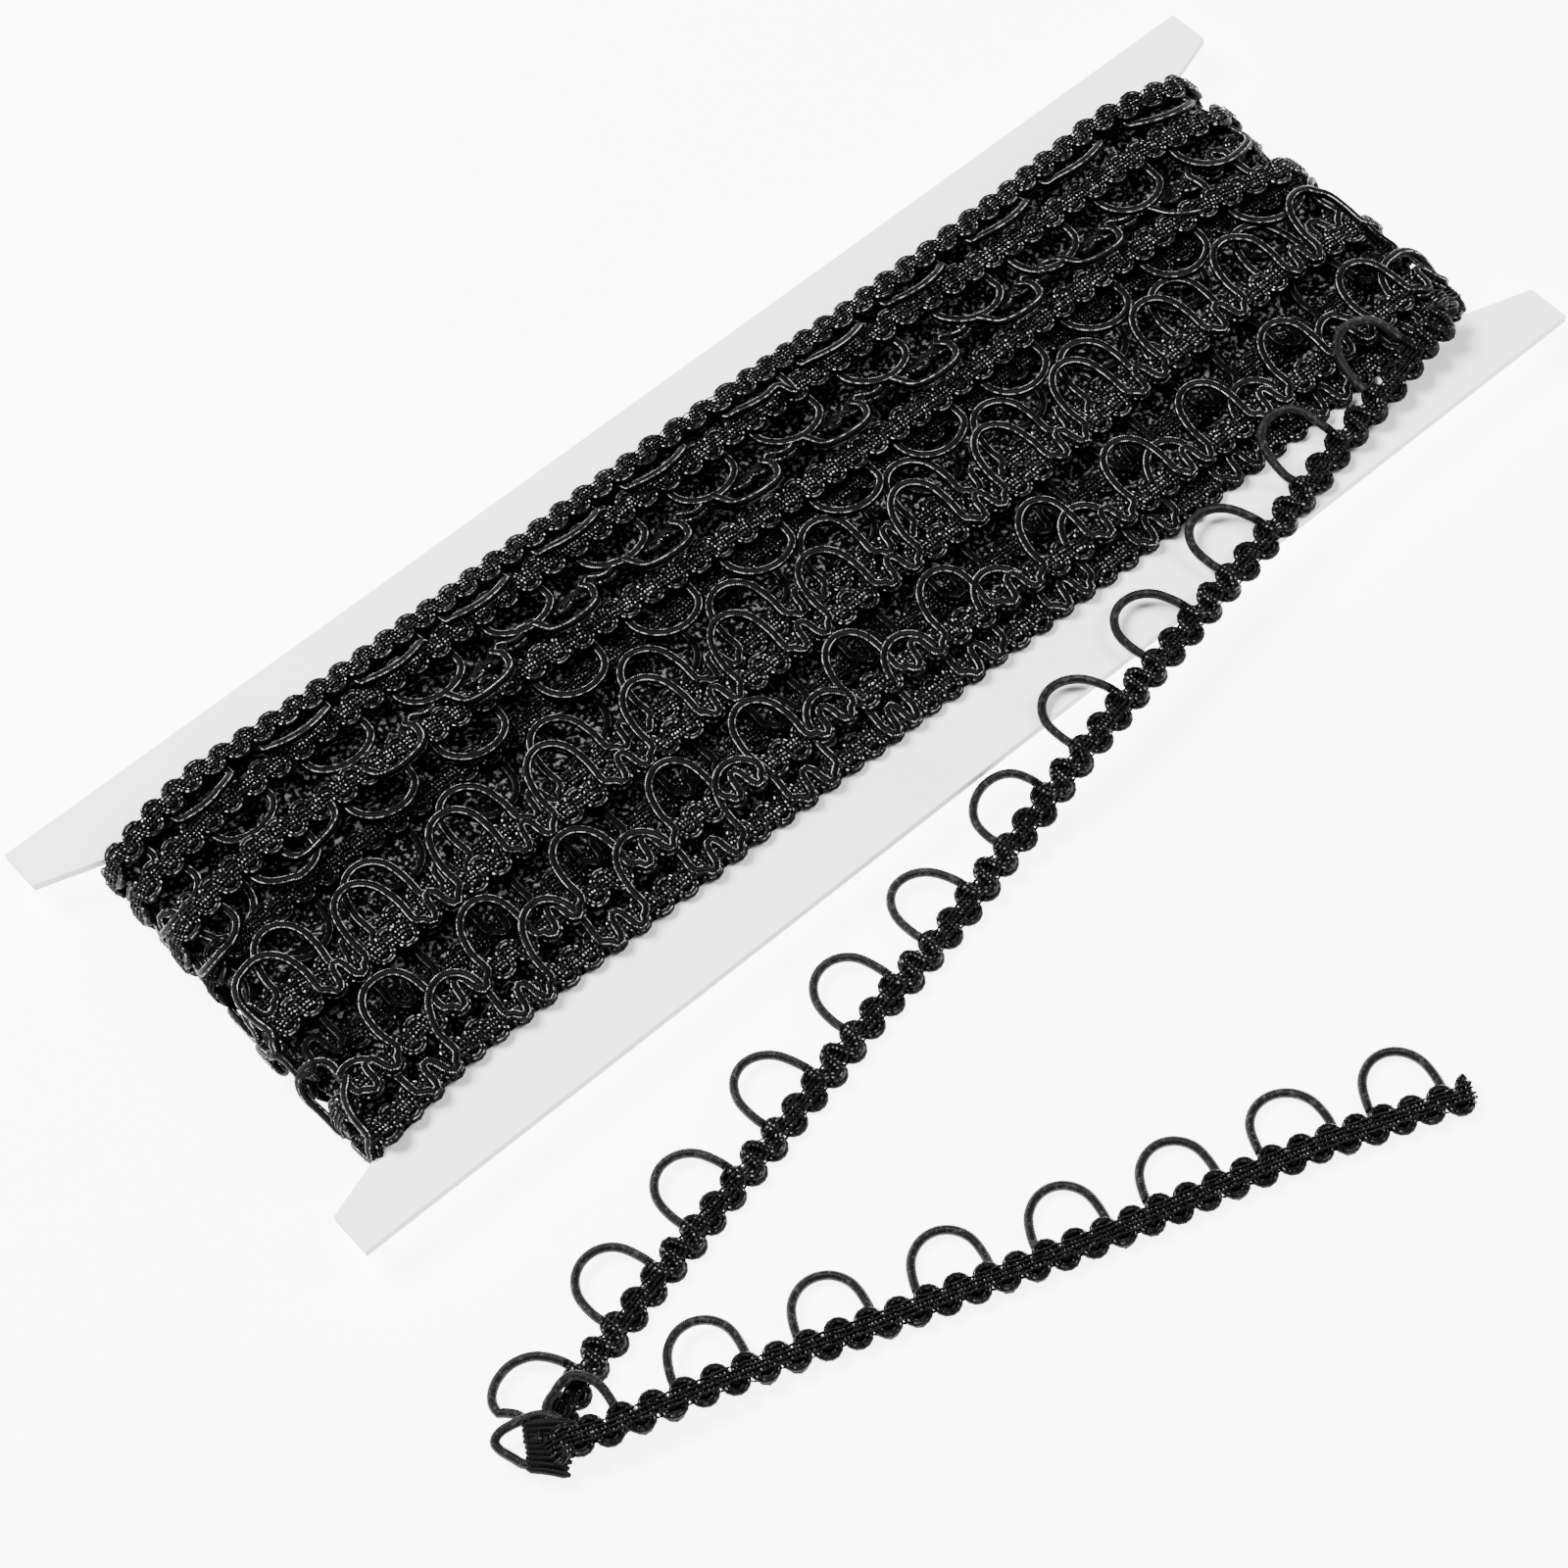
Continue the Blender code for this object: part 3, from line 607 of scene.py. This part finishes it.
def ring_strand(row):
    """One strand's way round the card: over it, round its +X end, back underneath and round its -X end."""
    x_top = np.linspace(-WAIST_X, WAIST_X, TOP_STEPS)
    near_end = np.interp(np.abs(x_top), (END_TAPER_X, WAIST_X), (0.0, 1.0)) ** 2
    top = np.interp(x_top, HEIGHT_X, row.height)
    z_top = top + (CARD_MIDDLE + row.end - top) * near_end
    turn = np.linspace(math.pi / 2, -math.pi / 2, END_STEPS)[1:-1]
    under_radius = CARD_MIDDLE - UNDER_HEIGHT
    radius = row.end + (under_radius - row.end) * np.linspace(0.0, 1.0, len(turn)) ** 2
    x_end = WAIST_X + radius * np.cos(turn)
    z_end = CARD_MIDDLE + radius * np.sin(turn)
    x_under = np.linspace(WAIST_X, -WAIST_X, UNDER_STEPS)
    z_under = np.full(len(x_under), UNDER_HEIGHT)
    y_top = np.interp(x_top, PLACE_X, row.place)
    share = np.linspace(0.0, 1.0, len(turn))
    y_end = row.place[-1] + (row.under - row.place[-1]) * share * 0.5
    y_back = row.place[0] + (row.under - row.place[0]) * share * 0.5
    ease = np.interp(np.abs(x_under), (UNDER_TAPER_X, WAIST_X), (1.0, 0.5))
    edge_place = np.interp(x_under, (-WAIST_X, WAIST_X), (row.place[0], row.place[-1]))
    y_under = edge_place + (row.under - edge_place) * ease
    underneath = np.column_stack([x_under, y_under, z_under])
    line = np.vstack([
        underneath[UNDER_STEPS // 2:],
        np.column_stack([-x_end, y_back, z_end])[::-1],
        np.column_stack([x_top, y_top, z_top]),
        np.column_stack([x_end, y_end, z_end]),
        underneath[:UNDER_STEPS // 2],
    ])
    forward = unit(np.gradient(line, axis=0))
    outward = unit(np.cross(forward, np.array([0.0, 1.0, 0.0])))
    on_top = np.interp(line[:, 2], (CARD_MIDDLE, CARD_MIDDLE + ROLL_HEIGHT), (0.0, 1.0))
    on_top *= np.interp(np.abs(line[:, 0]), (ROLL_TAPER_X, WAIST_X), (1.0, 0.0))
    roll = np.radians(-row.roll * on_top)[:, None]
    sideways = np.array([0.0, 1.0, 0.0])
    across = sideways * np.cos(roll) + outward * np.sin(roll)
    face = outward * np.cos(roll) - sideways * np.sin(roll)
    return Strand(line, across * row.way, face * row.face)


def make_wound_row(row, materials):
    """One strand of the winding, as one piece."""
    strand = ring_strand(row)
    total = strand.lengths[-1]
    top = strand.line[:, 2] > CARD_MIDDLE + TOP_HEIGHT
    places = list(np.interp(row.loops, strand.line[top, 0], strand.lengths[top]))
    pitch = (places[-1] - places[0]) / (len(places) - 1)
    while places[0] > 0.0:
        places.insert(0, places[0] - pitch)
    while places[-1] < total:
        places.append(places[-1] + pitch)
    loops = []
    for place in places:
        x, z = (np.interp(place, strand.lengths, strand.line[:, axis]) for axis in (0, 2))
        reach = np.interp(x, (-WAIST_X, WAIST_X), row.reach) * rng.uniform(*REACH_RANGE)
        rest = row.rest * row.face + rng.uniform(-REST_SPREAD, REST_SPREAD)
        if z < CARD_MIDDLE + LOOPS_HEIGHT:
            rest *= UNDER_REST
            reach = min(reach, UNDER_REACH)
        loops.append(Loop(place, row.half, reach, rest))
    over = strand.lengths[strand.line[:, 2] > CARD_MIDDLE + FINE_HEIGHT]
    start, end = STRAND_GAP, total - STRAND_GAP
    stretches = ((start, over[0], PLAIN), (over[0], over[-1], FINE), (over[-1], end, PLAIN))
    yarns = Yarns()
    weave(yarns, yarns, strand, (start, end, FINE), loops, stretches, (row.face,))
    return yarns.build(f"wound_strand_{row.name}", materials)


def loose_strand():
    """The loose end's route with its fold, and where the fold is along it."""
    upper = smooth_path(UPPER_ROUTE, LOOSE_STEP)
    lower = smooth_path(LOWER_ROUTE, LOOSE_STEP)
    low, high = upper[-1], lower[0]
    bend = []
    for step in range(1, FOLD_STEPS):
        turn = math.pi * step / FOLD_STEPS
        point = low + (high - low) * (1.0 - math.cos(turn)) / 2
        point[0] -= FOLD_REACH * math.sin(turn)
        point[2] = (low[2] + high[2]) / 2 - FOLD_RADIUS * math.cos(turn)
        bend.append(point)
    line = np.vstack([upper, bend, lower])

    def across_angle(path, way):
        step = np.gradient(path[:, :2], axis=0)
        return np.degrees(np.arctan2(way * step[:, 0], -way * step[:, 1]))

    lengths = arc_lengths(line)
    angles = np.concatenate([
        across_angle(upper, -1), np.full(len(bend), 90.0), across_angle(lower, 1),
    ])
    fold_at = lengths[len(upper) + len(bend) // 2]
    outside = np.abs(lengths - fold_at) > FOLD_BLEND
    angles = np.radians(np.interp(lengths, lengths[outside], angles[outside]))
    across = np.column_stack([np.cos(angles), np.sin(angles), np.zeros(len(angles))])
    forward = unit(np.gradient(line, axis=0))
    face = np.cross(across, forward)
    return Strand(line, across, face), fold_at


def make_loose_end(materials):
    """The loose end: its braid, and its loop cord with it."""
    strand, fold_at = loose_strand()
    total = strand.lengths[-1]
    going = strand.lengths < fold_at
    upper = np.interp([-x for x in UPPER_LOOPS_X], -strand.line[going, 0], strand.lengths[going])
    lower = np.interp(LOWER_LOOPS_X, strand.line[~going, 0], strand.lengths[~going])
    places = np.concatenate([[upper[0] - LOOP_PITCH], upper, lower, [lower[-1] + LOOP_PITCH]])
    loops = []
    for index, place in enumerate(places):
        rest = LOOSE_LIFTS.get(index - 1, 0.0) + rng.uniform(-REST_SPREAD, REST_SPREAD)
        half, reach = LOOP_HALF, rng.uniform(*REACH_RANGE)
        if index == len(upper) + 1:
            half, reach = FOLD_LOOP_HALF, FOLD_LOOP_REACH
        if index == 0:
            reach = HIDDEN_LOOP_REACH
        if index == CARD_EDGE_LOOP:
            reach = CARD_EDGE_REACH
        loops.append(Loop(place, half, reach, rest))

    def width(along):
        opening = np.interp(along, (0.0, TIP_LENGTH), (TIP_WIDTH, 1.0))
        flare = np.interp(along, (total - CUT_END_LENGTH, total), (1.0, CUT_END_FLARE))
        return opening * flare

    braid, cord = Yarns(), Yarns()
    span = (CUT_GAP, total - CUT_GAP, LOOSE)
    weave(braid, cord, strand, span, loops, (span,), (1, -1), width, CORD_SLOT)
    upward = np.array([0.0, 0.0, 1.0])
    for share in np.linspace(0.0, 1.0, FOLD_YARNS):
        start, end = ((1.0 - share) * np.array(a) + share * np.array(b) for a, b in (FOLD_EDGE, FOLD_FOOT))
        start = start + rng.uniform(*FOLD_START_SHIFT) * unit(end - start)
        end = end + rng.uniform(*FOLD_END_SHIFT) * unit(end - start)
        middle = (start + end) / 2 + FOLD_YARN_RISE * upward
        patch = smooth_path([start, middle, end], FOLD_YARN_STEP)
        out = np.full(len(patch), ROW_SPACING / 2)
        thickness = GROUND_YARN * np.interp(np.linspace(0.0, 1.0, len(patch)), *FOLD_YARN_TAPER)
        cord.add(patch, np.tile(upward, (len(patch), 1)), thickness, LOOSE.ground_sides, CORD_SLOT, out)
    fold = smooth_path(FOLD_LOOP, FOLD_LOOP_STEP)
    cord.add(fold, np.tile(upward, (len(fold), 1)), CORD, LOOSE.loop_sides, LOOP_SLOT)
    braid_piece = braid.build("loose_braid", materials)
    loops_piece = cord.build("loose_loop_cord", materials)
    return braid_piece, loops_piece


def node(tree, kind, **values):
    """A shader node with its sockets or settings filled in."""
    made = tree.nodes.new(kind)
    for name, value in values.items():
        if hasattr(made, name):
            setattr(made, name, value)
        else:
            made.inputs[name.replace("_", " ")].default_value = value
    return made


def chain(tree, value, *steps):
    """A value taken through math and range nodes: each step is an operation with its numbers or values."""
    for operation, *inputs in steps:
        if operation == "RANGE":
            made = tree.nodes.new("ShaderNodeMapRange")
            for socket, number in zip(("From Min", "From Max", "To Min", "To Max"), inputs):
                made.inputs[socket].default_value = number
        else:
            made = tree.nodes.new("ShaderNodeMath")
            made.operation = operation
            for index, entry in enumerate(inputs, 1):
                if isinstance(entry, (int, float)):
                    made.inputs[index].default_value = entry
                else:
                    tree.links.new(entry, made.inputs[index])
        tree.links.new(value, made.inputs[0])
        value = made.outputs[0]
    return value


def yarn_material(finish):
    """A black filament yarn with close wraps across it.

    A ground yarn has a painted highlight on its top between the stitch rows that hold it down. A loop cord
    has painted highlights in two dotted lines along it. A plain one has faint painted glints in streaks. All
    of them are painted into the base colour.
    """
    material = bpy.data.materials.new(finish.name)
    material.use_nodes = True
    tree = material.node_tree
    link = tree.links.new
    shader = tree.nodes["Principled BSDF"]
    shader.inputs["Roughness"].default_value = finish.roughness
    shader.inputs["Specular IOR Level"].default_value = finish.gloss
    shader.inputs["Sheen Weight"].default_value = finish.sheen
    yarn = node(tree, "ShaderNodeSeparateXYZ")
    link(node(tree, "ShaderNodeUVMap", uv_map="yarn").outputs["UV"], yarn.inputs["Vector"])
    braid = node(tree, "ShaderNodeSeparateXYZ")
    link(node(tree, "ShaderNodeUVMap", uv_map="braid").outputs["UV"], braid.inputs["Vector"])
    where = node(tree, "ShaderNodeTexCoord")
    noise = node(tree, "ShaderNodeTexNoise", Scale=FLECK_SCALE, Detail=1.0, Roughness=0.6)
    link(where.outputs["Object"], noise.inputs["Vector"])
    turn = chain(tree, yarn.outputs["Y"], ("MULTIPLY", 2 * math.pi), ("COSINE",), ("ABSOLUTE",))
    wraps = chain(tree, yarn.outputs["X"], ("MULTIPLY", 2 * math.pi / WRAP_SPACING), ("COSINE",),
                  ("RANGE", -1.0, 1.0, 0.0, 1.0))
    rise = chain(tree, braid.outputs["X"], ("MULTIPLY", 2 * math.pi / ROW_SPACING), ("COSINE",))
    # Painted highlights: light is how far the base colour goes from the dark tone to the bright one
    patchy = chain(tree, noise.outputs["Fac"], ("RANGE", *PATCHES))
    if finish.kind == "ground":
        crest = chain(tree, rise, ("RANGE", *GROUND_CREST))
        inside = chain(tree, braid.outputs["X"], ("ABSOLUTE",), ("RANGE", *GROUND_INSIDE))
        light = chain(tree, turn, ("SUBTRACT", GROUND_LINE), ("ABSOLUTE",), ("RANGE", *GROUND_LINE_FADE),
                      ("MULTIPLY", crest), ("MULTIPLY", inside), ("MULTIPLY", patchy))
    elif finish.kind == "cord":
        dots = chain(tree, wraps, ("RANGE", *CORD_DOTS))
        light = chain(tree, turn, ("SUBTRACT", CORD_LINE), ("ABSOLUTE",), ("RANGE", *CORD_LINE_FADE),
                      ("MULTIPLY", dots), ("MULTIPLY", patchy))
    else:
        light = chain(tree, noise.outputs["Fac"], ("RANGE", *GLINT_STREAKS))
    ramp = node(tree, "ShaderNodeValToRGB")
    for element, tone in zip(ramp.color_ramp.elements, (finish.dark, finish.bright)):
        element.color = (tone, tone, tone, 1.0)
    link(light, ramp.inputs["Fac"])
    link(ramp.outputs["Color"], shader.inputs["Base Color"])
    bump = node(tree, "ShaderNodeBump", Strength=0.7, Distance=0.00012)
    link(wraps, bump.inputs["Height"])
    if finish.kind == "ground":
        crimp = node(tree, "ShaderNodeBump", Strength=0.9, Distance=0.0003)
        link(rise, crimp.inputs["Height"])
        link(bump.outputs["Normal"], crimp.inputs["Normal"])
        bump = crimp
    link(bump.outputs["Normal"], shader.inputs["Normal"])
    return material


def card_material():
    """White card: smooth, with a faint fibre, a slight unevenness of tone and painted shade on its cut edge,
    in grey.
    """
    material = bpy.data.materials.new("white_card")
    material.use_nodes = True
    tree = material.node_tree
    shader = tree.nodes["Principled BSDF"]
    shader.inputs["Roughness"].default_value = 0.55
    where = node(tree, "ShaderNodeTexCoord")
    tone = node(tree, "ShaderNodeTexNoise", Scale=60.0, Detail=3.0)
    fibre = node(tree, "ShaderNodeTexNoise", Scale=1800.0, Detail=2.0)
    tree.links.new(where.outputs["Object"], tone.inputs["Vector"])
    tree.links.new(where.outputs["Object"], fibre.inputs["Vector"])
    ramp = node(tree, "ShaderNodeValToRGB")
    for element, colour in zip(ramp.color_ramp.elements, CARD_TONES):
        element.color = colour
    tree.links.new(tone.outputs["Fac"], ramp.inputs["Fac"])
    facing = node(tree, "ShaderNodeSeparateXYZ")
    tree.links.new(where.outputs["Normal"], facing.inputs["Vector"])
    # Painted shade: faces that don't face up or down, the cut edge, get the grey
    flat = chain(tree, facing.outputs["Z"], ("ABSOLUTE",), ("RANGE", 0.4, 0.8, 0.0, 1.0))
    edge_shade = node(tree, "ShaderNodeMix", data_type="RGBA")
    colours = [socket for socket in edge_shade.inputs if socket.type == "RGBA"]
    colours[0].default_value = CARD_EDGE_SHADE
    tree.links.new(ramp.outputs["Color"], colours[1])
    tree.links.new(flat, edge_shade.inputs["Factor"])
    mixed = [socket for socket in edge_shade.outputs if socket.type == "RGBA"]
    tree.links.new(mixed[0], shader.inputs["Base Color"])
    bump = node(tree, "ShaderNodeBump", Strength=0.15, Distance=0.00005)
    tree.links.new(fibre.outputs["Fac"], bump.inputs["Height"])
    tree.links.new(bump.outputs["Normal"], shader.inputs["Normal"])
    return material


def make_stage():
    """A pale floor, soft light and the camera at the photo's angle."""
    mesh = bpy.data.meshes.new("floor")
    corners = [(x * FLOOR_REACH, y * FLOOR_REACH, 0) for x, y in ((-1, -1), (1, -1), (1, 1), (-1, 1))]
    mesh.from_pydata(corners, [], [(0, 1, 2, 3)])
    floor = bpy.data.objects.new("floor", mesh)
    bpy.context.scene.collection.objects.link(floor)
    floor.location.z = -FLOOR_DROP
    material = bpy.data.materials.new("floor_white")
    material.use_nodes = True
    shader = material.node_tree.nodes["Principled BSDF"]
    shader.inputs["Base Color"].default_value = (0.95, 0.95, 0.95, 1.0)
    shader.inputs["Roughness"].default_value = 0.8
    shader.inputs["Emission Color"].default_value = (1.0, 1.0, 1.0, 1.0)
    shader.inputs["Emission Strength"].default_value = FLOOR_GLOW
    mesh.materials.append(material)

    world = bpy.data.worlds.new("studio")
    world.use_nodes = True
    background = world.node_tree.nodes["Background"]
    background.inputs["Color"].default_value = (1.0, 1.0, 1.0, 1.0)
    background.inputs["Strength"].default_value = SKY_GLOW
    bpy.context.scene.world = world
    for name, place, size, power in LAMPS:
        light = bpy.data.lights.new(name, "AREA")
        light.size = size
        light.energy = power
        lamp = bpy.data.objects.new(name, light)
        bpy.context.scene.collection.objects.link(lamp)
        lamp.location = place
        lamp.rotation_euler = (-Vector(place)).to_track_quat("-Z", "Y").to_euler()

    camera = bpy.data.cameras.new("camera")
    camera.lens = CAMERA_LENS
    camera.sensor_width = 36.0
    holder = bpy.data.objects.new("camera", camera)
    bpy.context.scene.collection.objects.link(holder)
    axes = Matrix((CAMERA_RIGHT, CAMERA_UP, CAMERA_BACK)).transposed().to_4x4()
    holder.matrix_world = Matrix.Translation(Vector(CAMERA_PLACE) * MM) @ axes
    bpy.context.scene.camera = holder


def core_stations():
    """Places and outward directions round the inner turns, in X and Z."""
    radius = (CARD_TOP - CARD_UNDERSIDE) / 2 + CORE_HEIGHT + CORE_END_ROOM

    def bend(x, start, end):
        for turn in np.linspace(start, end, CORE_END_STEPS)[1:-1]:
            out_x, out_z = math.cos(turn), math.sin(turn)
            yield x + radius * out_x, CARD_MIDDLE + radius * out_z, out_x, out_z

    places = np.linspace(-WAIST_X, WAIST_X, CORE_STEPS)
    stations = [(x, CARD_TOP + CORE_HEIGHT, 0.0, 1.0) for x in places]
    stations += bend(WAIST_X, math.pi / 2, -math.pi / 2)
    stations += [(x, CARD_UNDERSIDE - CORE_HEIGHT, 0.0, -1.0) for x in places[::-1]]
    stations += bend(-WAIST_X, -math.pi / 2, -3 * math.pi / 2)
    return stations


def make_core(material):
    """The tight inner turns round the card's waist, under the strands that show."""
    rings = []
    for x, z, out_x, out_z in core_stations():
        edges = CORE_SIDES_UNDERNEATH
        if z > CARD_TOP:
            rows = (ROWS[-1], ROWS[0])
            edges = [np.interp(x, PLACE_X, row.place) + past for row, past in zip(rows, CORE_SIDES_PAST_ROWS)]
        across = np.linspace(edges[0], edges[1], CORE_LINES)
        swell = CORE_WAVE * np.cos(across * 2 * math.pi / CORE_WAVE_PITCH) + np.interp(across, *CORE_SHOULDER)
        swell[[0, -1]] = CORE_EDGE
        rings.append([(x + out_x * w, y, z + out_z * w) for y, w in zip(across, swell)])
    points = [tuple(value * MM for value in point) for ring in rings for point in ring]
    faces = []
    for ring in range(len(rings)):
        this, following = ring * CORE_LINES, (ring + 1) % len(rings) * CORE_LINES
        faces += [(this + line, this + line + 1, following + line + 1, following + line)
                  for line in range(CORE_LINES - 1)]
    mesh = bpy.data.meshes.new("inner_turns")
    mesh.from_pydata(points, [], faces)
    mesh.polygons.foreach_set("use_smooth", np.ones(len(faces), dtype=bool))
    mesh.materials.append(material)
    thing = bpy.data.objects.new("inner_turns", mesh)
    bpy.context.scene.collection.objects.link(thing)
    return thing


def main():
    make_stage()
    wound = [yarn_material(finish) for finish in WOUND_FINISHES]
    loose_ground, loose_loop = (yarn_material(finish) for finish in LOOSE_FINISHES)
    loose = (loose_ground, wound[STITCH_SLOT], loose_loop)
    inner = yarn_material(CORE_FINISH)
    shaded = [yarn_material(finish) for finish in SHADED_FINISHES]

    braid, loops = make_loose_end(loose)
    for piece in (braid, loops):
        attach(piece, "root")
        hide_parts("loose_end")

    core = make_core(inner)
    # Rows in the shade of their neighbours get the shaded yarns, as painted shade
    pieces = [core] + [make_wound_row(row, shaded if row.deep else wound) for row in ROWS]
    for piece in pieces:
        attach(piece, "root")
        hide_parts("winding")

    card = bpy.data.objects["card"]
    card_finish = card_material()
    if not card.material_slots:
        card.data.materials.append(card_finish)
    for slot in card.material_slots:
        slot.material = card_finish


main()
